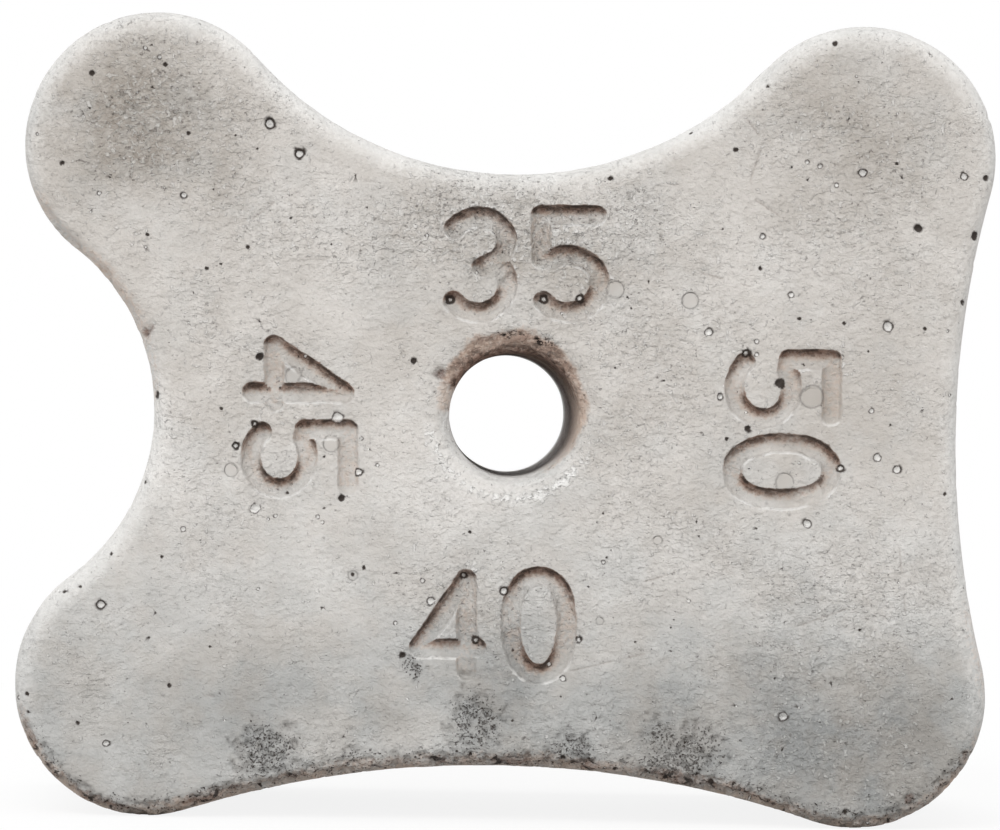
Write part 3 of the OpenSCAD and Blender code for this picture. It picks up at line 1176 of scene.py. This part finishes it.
studio = {
    "floorSize": 4,  # metres, as are the lamps' places and sizes
    "floorTone": (0.66, 0.65, 0.64, 1),
    "white": (1, 1, 1, 1),
    "shadowTone": (0.95, 0.95, 0.95, 1),  # the floor where its true shading shows
    "shadowShare": 0.13,                  # how much of it shows near the block
    "shadowReach": (0.04, 0.12),          # where it starts and ends to fade
    "world": 0.52,
    # name, place, size and power
    "lamps": [
        ("keyPanel", (-0.14, -0.68, 0.66), 0.5, 4.5),
        ("skyPanel", (0.1, 0.25, 0.9), 0.8, 1.2),
        ("leftPanel", (-0.52, -0.48, 0.14), 0.5, 1),
        ("rightPanel", (0.68, -0.2, 0.14), 0.5, 1.1),
        ("backPanel", (-0.26, 0.76, 0.1), 0.5, 4.4),
    ],
    "lampAim": (0, 0, 0.02),
}


# Seen by the camera the floor is white, but for a share of true shading near
# the block that keeps its shadow. To other rays it is a pale grey.
def makeFloor():
    corners = np.array([(-1, -1, 0), (1, -1, 0), (1, 1, 0), (-1, 1, 0)]) * studio["floorSize"] / 2 / mm
    floor = makePiece("floor", corners, np.array([[0, 1, 2, 3]]), {})
    material, tree = newMaterial("paleFloor")
    seen = addNode("LightPath", {}, "Is Camera Ray", tree)
    tone = blend(seen, studio["floorTone"], studio["shadowTone"])
    away = addNode("VectorMath", {0: addNode("TexCoord", {}, "Object", tree)}, "Value", operation="LENGTH")
    start, end = studio["shadowReach"]
    share = addNode("MapRange", {
        "Value": away, "From Min": start, "From Max": end, "To Min": 1 - studio["shadowShare"]})
    mix = addNode("MixShader", {
        0: seen * share, 1: addNode("BsdfDiffuse", {"Color": tone}),
        2: addNode("Emission", {"Color": studio["white"], "Strength": 1}, tree=tree)})
    addNode("OutputMaterial", {"Surface": mix})
    floor.data.materials.append(material)


# White to the camera and in reflections, dimmer as a light
def makeWorld():
    world = bpy.data.worlds.new("paleRoom")
    scene.world = world
    world.use_nodes = True
    tree = world.node_tree
    tree.nodes.clear()
    seen = larger(*(addNode("LightPath", {}, ray, tree) for ray in ("Is Camera Ray", "Is Glossy Ray")))
    light, plain = (addNode("Background", {"Color": studio["white"], "Strength": strength}, tree=tree)
                    for strength in (studio["world"], 1))
    addNode("OutputWorld", {"Surface": addNode("MixShader", {0: seen, 1: light, 2: plain})})


def makeLamp(name, place, size, power):
    lamp = bpy.data.lights.new(name, "AREA")
    lamp.size = size
    lamp.energy = power
    holder = placed(name, lamp)
    holder.location = place
    holder.rotation_euler = (Vector(studio["lampAim"]) - Vector(place)).to_track_quat("-Z", "Y").to_euler()


view = {
    "distance": 300,       # from the front face to the camera
    "widthSeen": 53.33,    # how much of the face's plane the view spans
    "roll": 1.1,           # degrees
    "aim": (-0.33, 21.8),  # the middle of the view, on the front face
    "stand": (-4, 23),     # x and z of the camera
}


def makeCamera():
    camera = bpy.data.cameras.new("camera")
    camera.sensor_width = 36
    camera.lens = camera.sensor_width * view["distance"] / view["widthSeen"]
    camera.clip_start = 0.01
    holder = placed("camera", camera)
    place = Vector((view["stand"][0], -halfThick - view["distance"], view["stand"][1])) * mm
    aim = Vector((view["aim"][0], -halfThick, view["aim"][1])) * mm
    look = (aim - place).to_track_quat("-Z", "Y").to_matrix().to_4x4()
    roll = Matrix.Rotation(math.radians(view["roll"]), 4, "Z")
    holder.matrix_world = Matrix.Translation(place) @ look @ roll
    bpy.context.scene.camera = holder


makeFloor()
makeWorld()
for lamp in studio["lamps"]:
    makeLamp(*lamp)
makeCamera()
scene.view_settings.view_transform = "Standard"
print("stage set")
